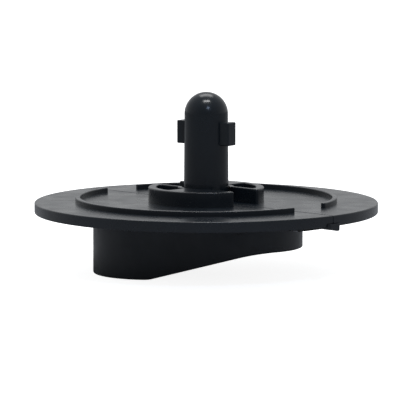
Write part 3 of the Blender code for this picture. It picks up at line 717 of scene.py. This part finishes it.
rim_latch()
latch_spring()
guide = strap("latch_guide", GUIDE_X, GUIDE_HALF_WIDTH, GUIDE_SCREWS)
cut(guide, latch_run("guide_run", GUIDE_X[0] + GUIDE_END_WALL, LATCH_THIN_BOTTOM - GAP, PLATE_TOP))
finished(guide, SEAM_ANGLE, MATT_BLACK, "plate", "strap_plastic", "latch_guide")
tie = strap("seam_tie", TIE_X, TIE_HALF_WIDTH, TIE_SCREWS)
finished(tie, SEAM_ANGLE, MATT_BLACK, "plate", "strap_plastic", "seam_tie")
for kind, places in (("guide", GUIDE_SCREWS), ("tie", TIE_SCREWS)):
    for number, place in enumerate(places, 1):
        countersunk_screw(f"{kind}_screw_{number}", place)


# ---------------------------------------------------------------- carried-over nodes

CARRIED = {
    ACETAL: ["front_bush_half", "rear_bush_half", "thrust_washer"],
    MATT_BLACK: ["grip_lid"],
    ZINC: ["stop_pin", "spindle_screw", "spindle_screw_washer"] + [f"lid_screw_{i}" for i in (1, 2, 3, 4)],
    SPRING_STEEL: ["wave_spring"],
    BRASS: ["spindle_insert"],
}
for finish, names in CARRIED.items():
    for name in names:
        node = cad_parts[name]
        for slot in node.material_slots:
            slot.link = "OBJECT"
            slot.material = finish


# ---------------------------------------------------------------- stage, light and camera

CAMERA_DISTANCE = 0.990
CAMERA_ELEVATION = math.radians(6.61)
FOCAL_PIXELS = 2831.8
IMAGE_SIZE = 400.0
SENSOR = 36.0
AIM = Vector((-2.17 * MM, 0.0, 25.37 * MM))
FLOOR_RADIUS, FLOOR_GLOW = 12.0, 0.88
FLOOR_WHITES = ((0.90, 0.90, 0.90), (0.93, 0.93, 0.93))
FLOOR_REFLECTED = (0.42, 0.43, 0.45, 1.0)
SKY_COLOUR = (0.97, 0.985, 1.0, 1.0)
SKY_FRONT, SKY_BACK = 0.20, 0.68
WHITE = (1.0, 1.0, 1.0, 1.0)


def stage_floor():
    shape = bmesh.new()
    bmesh.ops.create_circle(shape, cap_ends=True, radius=FLOOR_RADIUS, segments=64)
    floor = made_object("floor", shape)
    made, nodes, links, shader = node_material("pale_floor")
    shader.inputs["Roughness"].default_value = 0.9
    shader.inputs["Specular IOR Level"].default_value = 0.0
    tone = remap(nodes, links, noise(nodes, links, 3.0), 0.0, 1.0)
    links.new(mixed_colour(nodes, links, tone, *FLOOR_WHITES).outputs["Result"], shader.inputs["Base Color"])
    shader.inputs["Emission Color"].default_value = WHITE
    shader.inputs["Emission Strength"].default_value = FLOOR_GLOW
    dim = nodes.new("ShaderNodeBsdfDiffuse")
    dim.inputs["Color"].default_value = FLOOR_REFLECTED
    rays = nodes.new("ShaderNodeLightPath")
    mix = nodes.new("ShaderNodeMixShader")
    links.new(rays.outputs["Is Camera Ray"], mix.inputs["Fac"])
    links.new(dim.outputs[0], mix.inputs[1])
    links.new(shader.outputs[0], mix.inputs[2])
    links.new(mix.outputs[0], nodes["Material Output"].inputs["Surface"])
    floor.data.materials.append(made)


def studio_world():
    """White behind the object, with dimmer and slightly cool surroundings in its reflections."""
    world = bpy.data.worlds.new("studio")
    bpy.context.scene.world = world
    world.use_nodes = True
    nodes, links = world.node_tree.nodes, world.node_tree.links
    nodes.clear()
    place = nodes.new("ShaderNodeTexCoord")
    split = nodes.new("ShaderNodeSeparateXYZ")
    links.new(place.outputs["Generated"], split.inputs[0])
    back = remap(nodes, links, split.outputs["Y"], SKY_FRONT, SKY_BACK, -1.0, 1.0)
    surroundings = nodes.new("ShaderNodeBackground")
    surroundings.inputs["Color"].default_value = SKY_COLOUR
    links.new(back, surroundings.inputs["Strength"])
    white = nodes.new("ShaderNodeBackground")
    white.inputs["Color"].default_value = WHITE
    rays = nodes.new("ShaderNodeLightPath")
    mix = nodes.new("ShaderNodeMixShader")
    out = nodes.new("ShaderNodeOutputWorld")
    links.new(rays.outputs["Is Camera Ray"], mix.inputs["Fac"])
    links.new(surroundings.outputs[0], mix.inputs[1])
    links.new(white.outputs[0], mix.inputs[2])
    links.new(mix.outputs[0], out.inputs["Surface"])


def area_light(name, azimuth_deg, elevation_deg, distance, size, power, colour=(1.0, 1.0, 1.0)):
    """A soft box aimed at the spindle; azimuth 0 is the camera's side and positive turns to its right."""
    light = bpy.data.lights.new(name, "AREA")
    light.shape = "RECTANGLE"
    light.size, light.size_y = size
    light.energy = power
    light.color = colour
    lamp = bpy.data.objects.new(name, light)
    bpy.context.scene.collection.objects.link(lamp)
    azimuth, elevation = math.radians(azimuth_deg), math.radians(elevation_deg)
    level = math.cos(elevation)
    arm = Vector((math.sin(azimuth) * level, -math.cos(azimuth) * level, math.sin(elevation)))
    target = Vector((0.0, 0.0, PLATE_TOP))
    lamp.location = target + distance * arm
    lamp.rotation_euler = (-arm).to_track_quat("-Z", "Y").to_euler()


def camera():
    data = bpy.data.cameras.new("camera")
    data.sensor_width = SENSOR
    data.lens = FOCAL_PIXELS / IMAGE_SIZE * SENSOR
    data.clip_start = 0.01
    cam = bpy.data.objects.new("camera", data)
    bpy.context.scene.collection.objects.link(cam)
    back = Vector((0.0, -math.cos(CAMERA_ELEVATION), math.sin(CAMERA_ELEVATION)))
    cam.location = AIM + CAMERA_DISTANCE * back
    cam.rotation_euler = (-back).to_track_quat("-Z", "Y").to_euler()
    bpy.context.scene.camera = cam


stage_floor()
studio_world()
area_light("overhead_strip", 4.0, 75.0, 0.60, (0.26, 0.05), 1.2)
area_light("cool_window", 12.0, 36.0, 0.80, (0.05, 0.06), 0.60, (0.55, 0.70, 1.0))
area_light("rear_fill", 180.0, 62.0, 0.80, (0.50, 0.30), 1.6)
camera()
bpy.context.scene.view_settings.view_transform = "Standard"
